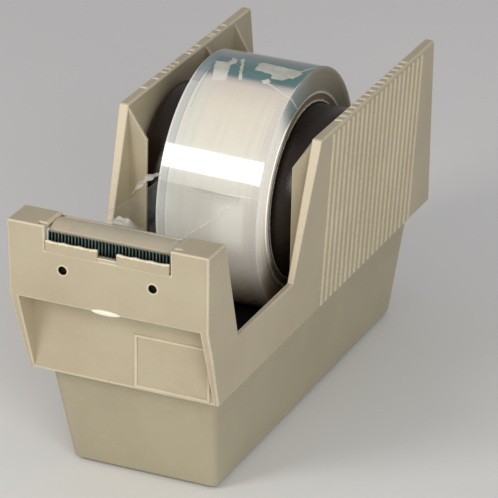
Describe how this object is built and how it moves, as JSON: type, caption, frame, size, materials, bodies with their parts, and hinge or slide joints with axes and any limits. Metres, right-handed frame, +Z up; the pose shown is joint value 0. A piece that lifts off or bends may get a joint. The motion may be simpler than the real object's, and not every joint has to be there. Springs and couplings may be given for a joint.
{
  "type": "desktop tape dispenser",
  "caption": "Weighted desktop dispenser for wide clear tape: nose with serrated blade, ribbed side plates, lift-out hub with core and tape roll.",
  "frame": {"origin": "bottom centre of the bounding box, on the surface the feet stand on", "axes": "+X is the width and the direction of the hub axis, -Y is the front where the blade is, +Z is up"},
  "size_m": [0.104, 0.2732, 0.1586],
  "materials": {
    "housing_plastic": "satin moulded, putty beige",
    "tub_plastic": "fine grain moulded, putty beige",
    "ballast": "cast",
    "black_plastic": "matte",
    "rubber": "matte",
    "screw_steel": "zinc plated",
    "blade_steel": "blackened",
    "axle_steel": "ground",
    "clear_film": "clear gloss",
    "hub_plastic": "satin gloss, very dark brown",
    "bush_plastic": "natural nylon",
    "core_board": "wound board",
    "tape_film": "clear wound film, gloss"
  },
  "bodies": {
    "housing": {"upper_housing": "housing_plastic", "base_tub": "tub_plastic", "bottom_plate": "tub_plastic", "ballast_block": "ballast", "well_floor": "black_plastic", "rubber_feet": "rubber", "base_screws": "screw_steel", "joint_screws": "screw_steel", "blade_holder": "housing_plastic", "blade": "blade_steel", "landing_bar": "housing_plastic", "holder_pins": "screw_steel"},
    "axle": {"axle_rod": "axle_steel", "retaining_rings": "axle_steel", "tape_strip": "clear_film"},
    "hub": {"hub_left": "hub_plastic", "hub_right": "hub_plastic", "hub_bushes": "bush_plastic", "hub_screws": "screw_steel", "core": "core_board", "tape_roll": "tape_film"}
  },
  "joints": [
    {"name": "roll_lift_out", "type": "slide", "parent": "housing", "child": "axle", "axis": [0, 0, 1], "range_m": [0, 0.07]},
    {"name": "hub_spin", "type": "hinge", "parent": "axle", "child": "hub", "pos_m": [0, 0.0275, 0.0996], "axis": [1, 0, 0], "continuous": true}
  ]
}
